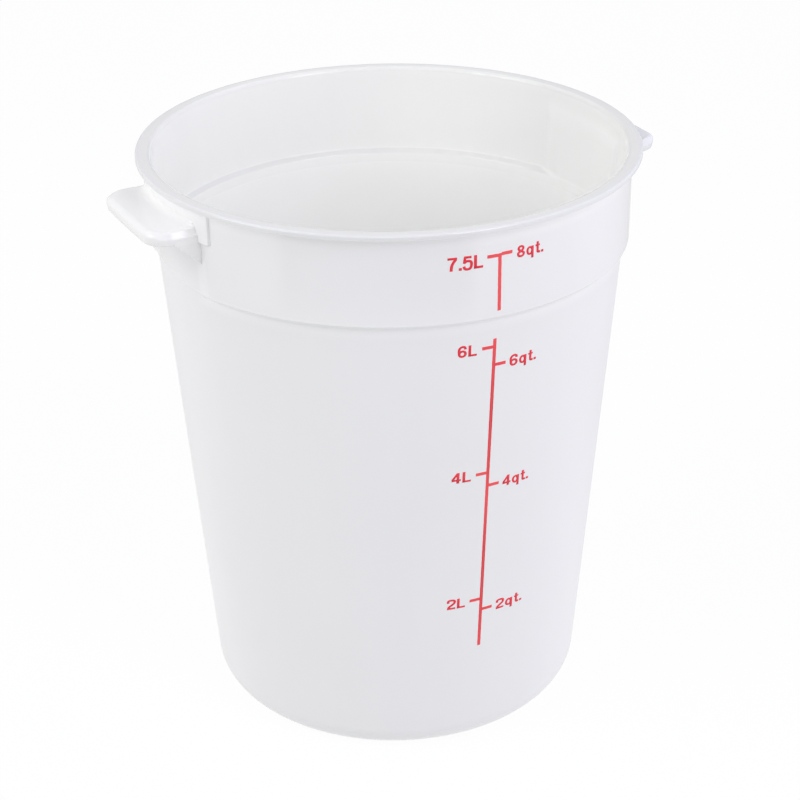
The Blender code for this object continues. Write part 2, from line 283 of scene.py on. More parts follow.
def along(line, value):
    """Straight line through two (input, output) points, carried on past both."""
    (x0, y0), (x1, y1) = line
    return y0 + (y1 - y0) * (np.asarray(value) - x0) / (x1 - x0)


def soft_min(a, b, width):
    """The lesser of a and b, with the corner between them rounded over the width.

    With h = 1/2 + (b - a) / (2 width), kept from 0 to 1: b + (a - b) h - width h (1 - h).
    """
    share = np.clip(0.5 + 0.5 * (b - a) / width, 0, 1)
    return b + (a - b) * share - width * share * (1 - share)


def soft_max(a, b, width):
    """The greater of a and b, rounded as soft_min rounds the lesser."""
    return -soft_min(-np.asarray(a), -np.asarray(b), width)


def smooth_share(value, low, high):
    """0 below low, 1 above high, and 3 t^2 - 2 t^3 between them."""
    share = np.clip((value - low) / (high - low), 0, 1)
    return share * share * (3 - 2 * share)


def filleted(corners, closed=False, turn=0.14):
    """Points along straight lines whose corners (across, up, radius) are rounded by arcs.

    An arc starts at radius / tan(half the corner's angle) from the corner, and its centre lies
    on the bisector. The radius is kept within half of each neighbouring line.
    """
    at = np.array([corner[:2] for corner in corners], float)
    points = []
    for index, (_, _, radius) in enumerate(corners):
        corner = at[index]
        if radius == 0 or (not closed and index in (0, len(corners) - 1)):
            points.append(corner[None, :])
            continue
        before = at[index - 1] - corner
        after = at[(index + 1) % len(corners)] - corner
        long_before, long_after = np.hypot(*before), np.hypot(*after)
        before, after = before / long_before, after / long_after
        half = math.acos(np.clip(before @ after, -1, 1)) / 2
        reach = min(radius / math.tan(half), long_before / 2, long_after / 2)
        centre = corner + (before + after) / np.hypot(*(before + after)) * reach / math.cos(half)
        first, last = corner + before * reach - centre, corner + after * reach - centre
        sweep = math.atan2(first[0] * last[1] - first[1] * last[0], first @ last)
        angles = np.linspace(0, sweep, max(3, math.ceil(abs(sweep) / turn)))
        turned = [first[0] * np.cos(angles) - first[1] * np.sin(angles),
                  first[0] * np.sin(angles) + first[1] * np.cos(angles)]
        points.append(centre + np.stack(turned, axis=1))
    return np.concatenate(points)


def divided(points, spacing, closed=False):
    """The same line with each stretch cut evenly, so that no piece is longer than the spacing.

    The spacing is a number or a function of a stretch's middle point.
    """
    ends = np.roll(points, -1, axis=0) if closed else points[1:]
    starts = points if closed else points[:-1]
    pieces = []
    for start, end in zip(starts, ends):
        limit = spacing((start + end) / 2) if callable(spacing) else spacing
        count = max(1, math.ceil(np.hypot(*(end - start)) / limit))
        shares = np.arange(count)[:, None] / count
        pieces.append(start + (end - start) * shares)
    if not closed:
        pieces.append(points[-1:])
    return np.concatenate(pieces)


def inward(outline):
    """Unit normals of a closed outline that runs anticlockwise, pointing to its inside.

    The tangent is the chord between the two neighbouring points, turned a quarter turn left.
    """
    chord = np.roll(outline, -1, axis=0) - np.roll(outline, 1, axis=0)
    chord /= np.linalg.norm(chord, axis=1, keepdims=True)
    return np.stack([-chord[:, 1], chord[:, 0]], axis=1)


def lens_rings(outline, stations, caps, centre):
    """Rings (across, up, depth) of a closed plate whose cover runs over its edge.

    stations are (inset, depth) pairs from the front cover's border, over the edge, to the back
    cover's border. Ring i is the outline moved inwards by inset i. The covers shrink the first
    and last ring towards the centre by the shares in caps.
    """
    normals = inward(outline)
    rings = [np.column_stack([outline + normals * inset, np.full(len(outline), depth)])
             for inset, depth in stations]
    middle = np.array(centre, float)

    def shrunk(ring, share):
        return np.column_stack([middle + (ring[:, :2] - middle) * share, ring[:, 2]])

    front = [shrunk(rings[0], share) for share in caps]
    back = [shrunk(rings[-1], share) for share in reversed(caps)]
    poles = (np.array([*middle, stations[0][1]]), np.array([*middle, stations[-1][1]]))
    return np.array(front + rings + back), poles


def quarter(inset, rise, steps):
    """Stations of a rounded edge: a quarter of an ellipse from the cover to the side."""
    angles = np.linspace(0, math.pi / 2, steps)
    return [(inset * (1 - math.sin(angle)), rise * (1 - math.cos(angle))) for angle in angles]


def closed_skin(rings, poles):
    """Vertices, quads and triangles of rings that close round, with a pole at each end."""
    count, around = rings.shape[:2]
    vertices = np.concatenate([poles[0][None, :], rings.reshape(-1, 3), poles[1][None, :]])
    here = 1 + np.arange(count - 1)[:, None] * around + np.arange(around)
    beside = 1 + np.arange(count - 1)[:, None] * around + (np.arange(around) + 1) % around
    quads = np.stack([here, beside, beside + around, here + around], axis=-1).reshape(-1, 4)
    last = 1 + (count - 1) * around
    column, neighbour = np.arange(around), (np.arange(around) + 1) % around
    first_fan = np.stack([np.zeros(around, int), 1 + neighbour, 1 + column], axis=1)
    end_pole = np.full(around, len(vertices) - 1)
    last_fan = np.stack([end_pole, last + column, last + neighbour], axis=1)
    return vertices, quads, np.concatenate([first_fan, last_fan])


def skin_volume(vertices, quads, triangles):
    """Signed volume: a sixth of the sum over all triangles of a . (b x c)."""
    split = np.concatenate([triangles, quads[:, [0, 1, 2]], quads[:, [0, 2, 3]]])
    a, b, c = (vertices[split[:, corner]] for corner in range(3))
    return np.einsum("ij,ij->i", a, np.cross(b, c)).sum() / 6


def mesh_object(name, skins, finishes, slots=None):
    """One object at the origin from closed skins in millimetres, each turned to face outwards."""
    vertices, corners, lengths, offset = [], [], [], 0
    for points, quads, triangles in skins:
        if skin_volume(points, quads, triangles) < 0:
            quads, triangles = quads[:, ::-1], triangles[:, ::-1]
        vertices.append(points * MM)
        corners += [(quads + offset).ravel(), (triangles + offset).ravel()]
        lengths += [np.full(len(quads), 4), np.full(len(triangles), 3)]
        offset += len(points)
    vertices, corners, lengths = (np.concatenate(part) for part in (vertices, corners, lengths))
    mesh = bpy.data.meshes.new(name)
    mesh.vertices.add(len(vertices))
    mesh.vertices.foreach_set("co", vertices.astype(np.float32).ravel())
    mesh.loops.add(len(corners))
    mesh.loops.foreach_set("vertex_index", corners.astype(np.int32))
    mesh.polygons.add(len(lengths))
    starts = np.concatenate([[0], np.cumsum(lengths)[:-1]])
    mesh.polygons.foreach_set("loop_start", starts.astype(np.int32))
    for finish in finishes:
        mesh.materials.append(finish)
    if slots is not None:
        mesh.polygons.foreach_set("material_index", slots.astype(np.int32))
    mesh.update(calc_edges=True)
    mesh.validate()
    mesh.shade_smooth()
    piece = bpy.data.objects.new(name, mesh)
    bpy.context.scene.collection.objects.link(piece)
    return piece


def dressed(piece, slot, *nodes):
    """Rides the piece on the part's one body and hides what it stands for; the slot is not used."""
    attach(piece, "root")
    if nodes:
        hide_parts(*nodes)
    return piece


# Bucket


def wall_radius(height):
    """Outer radius at a height: the band above its foot, the tapered wall below the step."""
    band = along(((BAND_FOOT, BAND_FOOT_RADIUS), (FLANGE_FOOT, BAND_TOP_RADIUS)), height)
    chamfer = along(((STEP, STEP_RADIUS), (BAND_FOOT, BAND_FOOT_RADIUS)), height)
    taper = along(((0, BASE_RADIUS), (STEP, STEP_RADIUS)), height)
    return np.where(height >= BAND_FOOT, band, np.where(height >= STEP, chamfer, taper))


def pressed_in(radius, height, angle, flat, floor, ramp, softness):
    """Radius of the wall where a flat cut across X presses it in.

    The cut is a steep plane whose x runs along the flat line with the height, so its radius is
    x / |cos angle|. It goes no deeper than the floor, and its top leaves along the ramp: the
    greatest of the three, and the lesser of that and the plain radius.
    """
    cut = along(flat, height) / np.maximum(np.abs(np.cos(angle)), LEAST_COSINE)
    cut = soft_max(cut, along(floor, height), softness)
    cut = soft_max(cut, along(ramp, height), softness)
    return soft_min(radius, cut, softness)


def bucket_angles():
    """Angles round the bucket, closest together across the two cuts on X."""
    fine = np.radians(np.linspace(-CUT_SPAN, CUT_SPAN, FINE_COUNT, endpoint=False))
    coarse = np.radians(np.linspace(CUT_SPAN, 180 - CUT_SPAN, COARSE_COUNT, endpoint=False))
    half = np.concatenate([fine, coarse])
    return np.concatenate([half, half + math.pi])


def bucket_spacing(middle):
    """Longest step allowed along the half section near its point (radius, height)."""
    if RAMP_ZONE[0] < middle[1] < RAMP_ZONE[1]:
        return ZONE_STEP
    return BAND_STEP if middle[1] > STEP else WALL_STEP


def bucket_rings():
    """Rings of the bucket, up the inside and down the outside, and how many are inside.

    A point is (radius cos angle, radius sin angle, height). The half section, with its points as
    (radius, height, rounding), gives height and plain radius, and the cuts press the radius in.
    """
    slope = (STEP_RADIUS - BASE_RADIUS) / STEP
    rim_middle = (BAND_TOP_RADIUS + RIM_RADIUS) / 2
    inside = filleted([
        (FLOOR_POLE, FLOOR_TOP, 0),
        (BASE_RADIUS + slope * FLOOR_TOP - WALL, FLOOR_TOP, INNER_CORNER_ROUND),
        (LEDGE_RADIUS, LEDGE_FOOT, 1.1),
        (LEDGE_RADIUS + LEDGE_WIDTH, LEDGE_FOOT + LEDGE_RISE, 1.1),
        (BAND_TOP_RADIUS - WALL, TOP, 1.8),
        (rim_middle, TOP, 0),
    ])
    outside = filleted([
        (rim_middle + RIM_SEAM, TOP, 0),
        (RIM_RADIUS, TOP, 1.6),
        (RIM_RADIUS, FLANGE_FOOT, 0.6),
        (BAND_TOP_RADIUS, FLANGE_FOOT, 0.8),
        (BAND_FOOT_RADIUS, BAND_FOOT, 1.6),
        (STEP_RADIUS, STEP, 1.4),
        (BASE_RADIUS, 0, CORNER_ROUND),
        (FOOT_RING_RADIUS, 0, 0.5),
        (FOOT_RING_RADIUS - FOOT_RING_BEVEL, LIFT, 0.5),
        (GATE_RADIUS + GATE_BEVEL, LIFT, 0.4),
        (GATE_RADIUS, LIFT - GATE_DEPTH, 0.3),
        (GATE_POLE, LIFT - GATE_DEPTH, 0),
    ])
    inside, outside = divided(inside, bucket_spacing), divided(outside, bucket_spacing)
    angles = bucket_angles()
    inner = pressed_in(inside[:, :1], inside[:, 1:], angles, INNER_FLAT, INNER_FLOOR, INNER_RAMP,
                       INNER_SOFTNESS)
    outer = pressed_in(outside[:, :1], outside[:, 1:], angles, OUTER_FLAT, OUTER_FLOOR, OUTER_RAMP,
                       OUTER_SOFTNESS)
    radius = np.concatenate([inner, outer])
    height = np.concatenate([inside[:, 1], outside[:, 1]])[:, None] + np.zeros_like(radius)
    rings = np.stack([radius * np.cos(angles), radius * np.sin(angles), height], axis=-1)
    return rings, len(inside)


def make_bucket(outer_finish, inner_finish):
    """The bucket as one closed skin, its inside and outside each with a finish."""
    rings, inside_count = bucket_rings()
    poles = (np.array([0, 0, FLOOR_TOP]), np.array([0, 0, LIFT - GATE_DEPTH]))
    skin = closed_skin(rings, poles)
    around = rings.shape[1]
    inner_quads = (np.arange(rings.shape[0] - 1) < inside_count).repeat(around)
    slots = np.concatenate([inner_quads, np.ones(around), np.zeros(around)])
    bucket = mesh_object("bucket", [skin], [outer_finish, inner_finish], slots)
    return dressed(bucket, "white_body", "container_body")


# Handles


def grip_skin():
    """Grip: a plate with a lip, hollow underneath, that meets the pad in a hollow fillet.

    Its edge is a flat bevel along both ends and a quarter of an ellipse along the front.
    The plan is a rounded rectangle bent at both long sides: across is moved back by
    bow (up / half length)^2 at the front and by R - sqrt(R^2 - up^2) at the root. The top rises
    towards the pad as F - sqrt(F^2 - (F - d)^2) at distance d from the pad's face.
    """
    corners = [
        (ROOT_RADIUS, -GRIP_HALF, GRIP_ROOT_CORNER),
        (GRIP_FRONT, -GRIP_HALF, GRIP_CORNER),
        (GRIP_FRONT, GRIP_HALF, GRIP_CORNER),
        (ROOT_RADIUS, GRIP_HALF, GRIP_ROOT_CORNER),
    ]
    outline = divided(filleted(corners, closed=True, turn=0.08), 1.0, closed=True)
    depth = GRIP_TOP - GRIP_FOOT
    underside = GRIP_TOP - GRIP_UNDERSIDE
    lip = [(0.12, depth * 0.6), (0.4, depth - 0.6), (0.55, depth - 0.2), (0.9, depth), (2.1, depth),
           (2.5, depth - 0.3), (2.65, underside + 0.7), (2.85, underside + 0.2), (3.3, underside)]
    middle = ((ROOT_RADIUS + GRIP_FRONT) / 2, 0)
    bevelled, poles = lens_rings(outline, BEVEL + lip, COVER_SHARES, middle)
    rounded, _ = lens_rings(outline, quarter(*GRIP_FRONT_ROUND, 8) + lip, COVER_SHARES, middle)
    at_end = smooth_share(np.abs(inward(outline)[:, 1]), *BEVEL_TURN)[:, None]
    rings = bevelled * at_end + rounded * (1 - at_end)
    points, quads, triangles = closed_skin(rings, poles)
    across, up, below = points.T
    share = (across - ROOT_RADIUS) / (GRIP_FRONT - ROOT_RADIUS)
    root_drop = ROOT_RADIUS - np.sqrt(ROOT_RADIUS ** 2 - up ** 2)
    x = across - root_drop * (1 - share) - GRIP_BOW * (up / GRIP_HALF) ** 2 * share
    away = np.clip(np.hypot(x, up) - PAD_RADIUS, 0, FILLET)
    fillet = FILLET - np.sqrt(FILLET ** 2 - (FILLET - away) ** 2)
    fillet *= 1 - smooth_share(np.abs(up), *(GRIP_HALF - inset for inset in FILLET_FADE))
    z = GRIP_TOP - below + fillet * (below < GRIP_TOP_DEPTH)
    return np.stack([x, up, z], axis=1), quads, triangles


def pad_skin():
    """Backing pad: a rounded plate whose depth becomes a radius, bent round the band.

    At radius R its point across y lies at x = sqrt(R^2 - y^2).
    """
    corners = [(-PAD_HALF, PAD_FOOT, PAD_FOOT_CORNER), (PAD_HALF, PAD_FOOT, PAD_FOOT_CORNER),
               (PAD_HALF, PAD_HEAD, PAD_HEAD_CORNER), (-PAD_HALF, PAD_HEAD, PAD_HEAD_CORNER)]
    outline = divided(filleted(corners, closed=True, turn=0.2), 1.2, closed=True)
    depth = PAD_RADIUS - ROOT_RADIUS
    stations = quarter(PAD_ROUND, PAD_ROUND, 5) + [(0.0, depth)]
    rings, poles = lens_rings(outline, stations, list(np.linspace(0.08, 0.96, 12)), (0, PAD_MIDDLE))
    points, quads, triangles = closed_skin(rings, poles)
    radius = PAD_RADIUS - points[:, 2]
    x = np.sqrt(radius ** 2 - points[:, 0] ** 2)
    return np.stack([x, points[:, 0], points[:, 1]], axis=1), quads, triangles


def web_skin(side):
    """End web: a triangular plate whose outer face leans inwards by a share of its depth below.

    The outer face is at y = face + lean (height - foot) below its foot, and level above it.
    """
    low = WEB_FOOT - WEB_SLOPE * (WEB_TIP - WEB_ROOT)
    corners = [(WEB_ROOT, WEB_HEAD, WEB_CORNER), (WEB_ROOT, low, WEB_CORNER),
               (WEB_TIP, WEB_FOOT, WEB_TIP_CORNER), (WEB_TIP, WEB_HEAD, WEB_CORNER)]
    outline = divided(filleted(corners, closed=True, turn=0.25), 1.0, closed=True)
    stations = quarter(WEB_ROUND, WEB_ROUND, 4)
    stations += [(inset, WEB_THICKNESS - depth) for inset, depth in reversed(stations)]
    rings, poles = lens_rings(outline, stations, (0.3, 0.7), WEB_MIDDLE)
    points, quads, triangles = closed_skin(rings, poles)
    outer_face = WEB_FACE + WEB_LEAN * np.minimum(points[:, 1] - WEB_FOOT, 0)
    y = side * (outer_face - points[:, 2])
    return np.stack([points[:, 0], y, points[:, 1]], axis=1), quads, triangles


def make_handles(left_finish, right_finish):
    """Grip, pad and two webs as one piece on each side; the left ones are turned half round."""
    sides = (("right_handle_form", 1, right_finish), ("left_handle_form", -1, left_finish))
    shapes = (grip_skin(), pad_skin(), web_skin(1), web_skin(-1))
    for name, facing, finish in sides:
        skins = [(points * (facing, facing, 1), quads, triangles)
                 for points, quads, triangles in shapes]
        handle = mesh_object(name, skins, [finish])
        dressed(handle, "white_handle", name.replace("_form", ""))


# Printed scale on the wall


def on_wall(across, height, depth):
    """Places flat points on the wall, given as the arc from the scale's middle, height and depth.

    The angle is the scale's bearing + arc / radius, and the point (R cos angle, R sin angle, height)
    with R the wall's radius + depth.
    """
    radius = wall_radius(height) + depth
    angle = SCALE_BEARING + across / wall_radius(height)
    return np.stack([radius * np.cos(angle), radius * np.sin(angle), height], axis=1)


def bar_skin(left, right, low, high):
    """One printed bar: a thin plate on the wall whose border wavers by a few hundredths.

    The border moves inwards by the product of two sines, a short one and a long one.
    """
    corners = [(left, low, BAR_CORNER), (right, low, BAR_CORNER),
               (right, high, BAR_CORNER), (left, high, BAR_CORNER)]
    outline = divided(filleted(corners, closed=True, turn=0.5), 0.9, closed=True)
    across, up = outline.T
    waver = WAVER * np.sin(up * 1.7 + across * 2.3) * np.sin(up * 0.43 + 1)
    outline = outline + inward(outline) * waver[:, None]
    stations = [(0.05, INK_HEIGHT), (0.0, INK_HEIGHT / 2), (0.0, -INK_SUNK)]
    middle = ((left + right) / 2, (low + high) / 2)
    rings, poles = lens_rings(outline, stations, (0.5, 0.97), middle)
    points, quads, triangles = closed_skin(rings, poles)
    return on_wall(*points.T), quads, triangles


def make_scale_lines(finish):
    """The stem on the band and the stem on the lower wall, each with its ticks."""
    half = STROKE / 2
    upper = [bar_skin(-half, half, *UPPER_STEM), bar_skin(-TICK, -half, *UPPER_LITRE_TICK),
             bar_skin(half, TICK, *UPPER_QUART_TICK)]
    lower = [bar_skin(-half, half, *LOWER_STEM)]
    lower += [bar_skin(-TICK, -half, tick - half, tick + half) for tick in LITRE_TICKS]
    lower += [bar_skin(half, TICK, tick - half, tick + half) for tick in QUART_TICKS]
    for name, skins in (("upper_scale_print", upper), ("lower_scale_print", lower)):
        line = mesh_object(name, skins, [finish])
        dressed(line, "red_ink", name.replace("print", "line"))


# Printed marks: the words, where they start and end across, their base and how tall a figure is
LABELS = {
    "mark_7_5_litre": ("7.5L", -23.1, -7.6, 254.2, 6.0),
    "mark_8_quart": ("8qt.", 8.0, 21.4, 255.4, 5.4),
    "mark_6_litre": ("6L", -16.7, -8.2, 212.5, 5.4),
    "mark_6_quart": ("6qt.", 7.8, 21.7, 203.6, 5.4),
    "mark_4_litre": ("4L", -17.0, -8.1, 149.3, 5.4),
    "mark_4_quart": ("4qt.", 7.8, 21.8, 142.5, 5.4),
    "mark_2_litre": ("2L", -16.7, -8.0, 81.0, 5.4),
    "mark_2_quart": ("2qt.", 8.0, 22.8, 74.9, 5.4),
}

# Signs, where a figure is 1 tall: the advance and the strokes, each (width, kind, points)
SIGNS = {
    ".": (0.24, [(0.19, "straight", [(0.0, 0.09), (0.19, 0.09)])]),
    "2": (0.74, [(0.18, "bent", [(0.09, 0.66), (0.08, 0.9), (0.31, 0.95), (0.57, 0.88),
                                 (0.56, 0.62), (0.38, 0.45), (0.16, 0.28), (0.1, 0.1)]),
                 (0.17, "straight", [(0.02, 0.085), (0.62, 0.085)])]),
    "4": (0.76, [(0.17, "straight", [(0.43, 0.96), (0.05, 0.35)]),
                 (0.17, "straight", [(0.0, 0.3), (0.64, 0.3)]),
                 (0.19, "straight", [(0.44, 1.0), (0.44, 0.0)])]),
    "5": (0.74, [(0.17, "straight", [(0.13, 0.915), (0.57, 0.915)]),
                 (0.17, "straight", [(0.17, 0.99), (0.1, 0.48)]),
                 (0.18, "bent", [(0.08, 0.5), (0.26, 0.66), (0.56, 0.6), (0.59, 0.3), (0.5, 0.04),
                                 (0.16, 0.03), (0.08, 0.26)])]),
    "6": (0.74, [(0.18, "round", [(0.32, 0.32), (0.22, 0.235)]),
                 (0.18, "bent", [(0.1, 0.34), (0.06, 0.72), (0.22, 0.95), (0.48, 0.95),
                                 (0.54, 0.72)])]),
    "7": (0.74, [(0.17, "straight", [(0.02, 0.915), (0.62, 0.915)]),
                 (0.19, "bent", [(0.55, 0.86), (0.4, 0.66), (0.27, 0.36), (0.25, 0.0)])]),
    "8": (0.74, [(0.17, "round", [(0.31, 0.735), (0.185, 0.175)]),
                 (0.18, "round", [(0.31, 0.285), (0.22, 0.195)])]),
    "L": (0.62, [(0.19, "straight", [(0.095, 1.0), (0.095, 0.0)]),
                 (0.17, "straight", [(0.0, 0.085), (0.6, 0.085)])]),
    "q": (0.72, [(0.17, "round", [(0.28, 0.37), (0.19, 0.285)]),
                 (0.18, "straight", [(0.5, 0.73), (0.5, -0.27)])]),
    "t": (0.5, [(0.18, "bent", [(0.2, 0.96), (0.2, 0.3), (0.2, 0.08), (0.42, 0.08)]),
                (0.14, "straight", [(0.02, 0.66), (0.39, 0.66)])]),
}


def stroke_line(kind, points):
    """Middle line of a stroke: straight, bent (its corners cut four times) or round.

    A round one is centre + (radii cos a, radii sin a). A cut puts points at a quarter and at three
    quarters of each stretch and keeps both ends.
    """
    line = np.array(points, float)
    if kind == "round":
        angles = np.linspace(0, 2 * math.pi, 33)
        return line[0] + line[1] * np.stack([np.cos(angles), np.sin(angles)], axis=1)
    if kind == "bent":
        for _ in range(4):
            near, far = 0.75 * line[:-1] + 0.25 * line[1:], 0.25 * line[:-1] + 0.75 * line[1:]
            cut = np.stack([near, far], axis=1).reshape(-1, 2)
            line = np.concatenate([line[:1], cut, line[-1:]])
    return line


def stroke_rings(kind, points, width, lift):
    """Rings of a flat stroke: four corners at each point of its middle line, half the width off."""
    line = stroke_line(kind, points)
    steps = np.diff(line, axis=0)
    steps /= np.linalg.norm(steps, axis=1, keepdims=True)
    if kind == "round":
        before, after = np.vstack([steps[-1:], steps]), np.vstack([steps, steps[:1]])
    else:
        before, after = np.vstack([steps[:1], steps]), np.vstack([steps, steps[-1:]])
    tangent = (before + after) / np.linalg.norm(before + after, axis=1, keepdims=True)
    offset = np.stack([-tangent[:, 1], tangent[:, 0]], axis=1) * width / 2
    corners = [(line + offset, -INK_SUNK), (line + offset, lift),
               (line - offset, lift), (line - offset, -INK_SUNK)]
    return np.stack([np.column_stack([side, np.full(len(side), depth)]) for side, depth in corners],
                    axis=1)


def make_label(name, words, start, end, base, tall, finish):
    """Plain figures and a unit, drawn with strokes, set to their box and wrapped on the wall.

    The words are stretched to run from start to end, and each stroke lies a layer higher than the
    one before, so that no two share a face.
    """
    total = sum(SIGNS[sign][0] for sign in words[:-1])
    total += max(point[0] for _, _, points in SIGNS[words[-1]][1] for point in points)
    skins, reached = [], 0.0
    for sign in words:
        advance, strokes = SIGNS[sign]
        for width, kind, points in strokes:
            lift = INK_HEIGHT + STROKE_LAYER * len(skins)
            rings = stroke_rings(kind, points, width, lift)
            across = start + (rings[..., 0] + reached) / total * (end - start)
            shaped = np.stack([across, base + rings[..., 1] * tall, rings[..., 2]], axis=-1)
            poles = (shaped[0].mean(axis=0), shaped[-1].mean(axis=0))
            flat, quads, triangles = closed_skin(shaped, poles)
            skins.append((on_wall(*flat.T), quads, triangles))
        reached += advance
    return dressed(mesh_object(name, skins, [finish]), "red_ink")


# Finishes


def group(name, inputs, outputs):
    """Empty shader group with float, vector or colour sockets, its input and output nodes."""
    kinds = {"value": "NodeSocketFloat", "vector": "NodeSocketVector", "colour": "NodeSocketColor"}
    tree = bpy.data.node_groups.new(name, "ShaderNodeTree")
    for label, kind in inputs:
        tree.interface.new_socket(label, in_out="INPUT", socket_type=kinds[kind])
    for label, kind in outputs:
        tree.interface.new_socket(label, in_out="OUTPUT", socket_type=kinds[kind])
    return tree, tree.nodes.new("NodeGroupInput"), tree.nodes.new("NodeGroupOutput")


def noise(tree, vector, scale, detail, roughness=0.5):
    """Noise texture on a vector socket; returns its value socket."""
    node = tree.nodes.new("ShaderNodeTexNoise")
    node.inputs["Detail"].default_value = detail
    node.inputs["Roughness"].default_value = roughness
    tree.links.new(vector, node.inputs["Vector"])
    if isinstance(scale, (int, float)):
        node.inputs["Scale"].default_value = scale
    else:
        tree.links.new(scale, node.inputs["Scale"])
    return node.outputs["Fac"]


def maths(tree, operation, first, second):
    """Maths node of two sockets or numbers; returns its value socket."""
    node = tree.nodes.new("ShaderNodeMath")
    node.operation = operation
    for socket, value in zip(node.inputs, (first, second)):
        if isinstance(value, (int, float)):
            socket.default_value = value
        else:
            tree.links.new(value, socket)
    return node.outputs["Value"]


def ramped(tree, value, low, high, to_low=0.0, to_high=1.0):
    """Map Range node, clamped; returns its value socket."""
    node = tree.nodes.new("ShaderNodeMapRange")
    node.interpolation_type = "SMOOTHSTEP"
    tree.links.new(value, node.inputs["Value"])
    ends = {"From Min": low, "From Max": high, "To Min": to_low, "To Max": to_high}
    for label, number in ends.items():
        if isinstance(number, (int, float)):
            node.inputs[label].default_value = number
        else:
            tree.links.new(number, node.inputs[label])
    return node.outputs["Result"]


def stretched(tree, vector, scale):
    """Mapping node that scales a vector socket; returns the vector socket."""
    node = tree.nodes.new("ShaderNodeMapping")
    node.inputs["Scale"].default_value = scale
    tree.links.new(vector, node.inputs["Vector"])
    return node.outputs["Vector"]


def dotted(tree, vector, direction):
    """How far a vector socket reaches along a direction; returns the value socket."""
    node = tree.nodes.new("ShaderNodeVectorMath")
    node.operation = "DOT_PRODUCT"
    node.inputs[1].default_value = direction
    tree.links.new(vector, node.inputs[0])
    return node.outputs["Value"]


def moulded_grain_group():
    """Fine satin grain of a moulded surface: two sizes of noise added up to one height."""
    tree, given, result = group("moulded_grain", [("Vector", "vector"), ("Scale", "value")],
                                [("Height", "value")])
    fine = noise(tree, given.outputs["Vector"], given.outputs["Scale"], 3.0, 0.6)
    coarse_scale = maths(tree, "MULTIPLY", given.outputs["Scale"], COARSE_GRAIN)
    coarse = noise(tree, given.outputs["Vector"], coarse_scale, 1.0)
    total = maths(tree, "ADD", maths(tree, "MULTIPLY", fine, 0.5),
                  maths(tree, "MULTIPLY", coarse, 0.5))
    tree.links.new(total, result.inputs["Height"])
    return tree


def tone_drift_group():
    """Slow drift of tone: cloudy patches and upright flow streaks mix a main and a second tone."""
    tree, given, result = group(
        "tone_drift", [("Vector", "vector"), ("Main", "colour"), ("Second", "colour")],
        [("Color", "colour")])
    patches = noise(tree, given.outputs["Vector"], PATCH_SCALE, 2.0)
    streaks = noise(tree, stretched(tree, given.outputs["Vector"], STREAK_SCALE), 1.0, 2.0)
    share = maths(tree, "ADD", maths(tree, "MULTIPLY", patches, PATCH_SHARE),
                  maths(tree, "MULTIPLY", streaks, 1 - PATCH_SHARE))
    mix = tree.nodes.new("ShaderNodeMix")
    mix.data_type = "RGBA"
    tree.links.new(ramped(tree, share, *PATCH_RANGE), mix.inputs["Factor"])
    tree.links.new(given.outputs["Main"], mix.inputs["A"])
    tree.links.new(given.outputs["Second"], mix.inputs["B"])
    tree.links.new(mix.outputs["Result"], result.inputs["Color"])
    return tree


def handling_group():
    """Light handling marks: thin scuffs in two directions and dull patches, as one mask."""
    tree, given, result = group("handling_marks", [("Vector", "vector"), ("Amount", "value")],
                                [("Mask", "value")])
    place = given.outputs["Vector"]
    upright = noise(tree, stretched(tree, place, UPRIGHT_SCUFF_SCALE), 1.0, 1.0)
    level = noise(tree, stretched(tree, place, LEVEL_SCUFF_SCALE), 1.0, 1.0)
    dull = noise(tree, place, DULL_SCALE, 3.0)
    scuffs = maths(tree, "MAXIMUM", ramped(tree, upright, *UPRIGHT_SCUFF_RANGE),
                   ramped(tree, level, *LEVEL_SCUFF_RANGE))
    both = maths(tree, "ADD", maths(tree, "MULTIPLY", scuffs, SCUFF_SHARE),
                 ramped(tree, dull, *DULL_RANGE))
    mask = maths(tree, "MULTIPLY", both, given.outputs["Amount"])
    tree.links.new(mask, result.inputs["Mask"])
    return tree


def height_ramp_group():
    """Smooth change with the height: one factor below a height and another above a second one."""
    labels = ("Height", "Low", "High", "Below", "Above")
    tree, given, result = group("height_ramp", [(label, "value") for label in labels],
                                [("Factor", "value")])
    factor = ramped(tree, *(given.outputs[label] for label in labels))
    tree.links.new(factor, result.inputs["Factor"])
    return tree


def wall_light_group():
    """Painted glow for light through the wall: all of it at the backlit far side, a share elsewhere.
    """
    tree, given, result = group("wall_light", [("Vector", "vector"), ("Elsewhere", "value")],
                                [("Light", "value")])
    reach = dotted(tree, given.outputs["Vector"], BACKLIT)
    light = ramped(tree, reach, *BACKLIT_RANGE, given.outputs["Elsewhere"], 1.0)
    tree.links.new(light, result.inputs["Light"])
    return tree


def placed_group(tree, which, **values):
    """Group node in a material's tree, with sockets linked or set by name."""
    node = tree.nodes.new("ShaderNodeGroup")
    node.node_tree = which
    for label, value in values.items():
        if isinstance(value, bpy.types.NodeSocket):
            tree.links.new(value, node.inputs[label])
        else:
            node.inputs[label].default_value = value
    return node


def surface(name):
    """New material: its tree, shader and Object coordinates."""
    finish = bpy.data.materials.new(name)
    finish.use_nodes = True
    tree = finish.node_tree
    coordinates = tree.nodes.new("ShaderNodeTexCoord").outputs["Object"]
    return finish, tree, tree.nodes["Principled BSDF"], coordinates


def bumped(tree, shader, height, strength, distance):
    """Puts a bump of a height socket on the shader's normal."""
    bump = tree.nodes.new("ShaderNodeBump")
    bump.inputs["Strength"].default_value = strength
    bump.inputs["Distance"].default_value = distance
    tree.links.new(height, bump.inputs["Height"])
    tree.links.new(bump.outputs["Normal"], shader.inputs["Normal"])


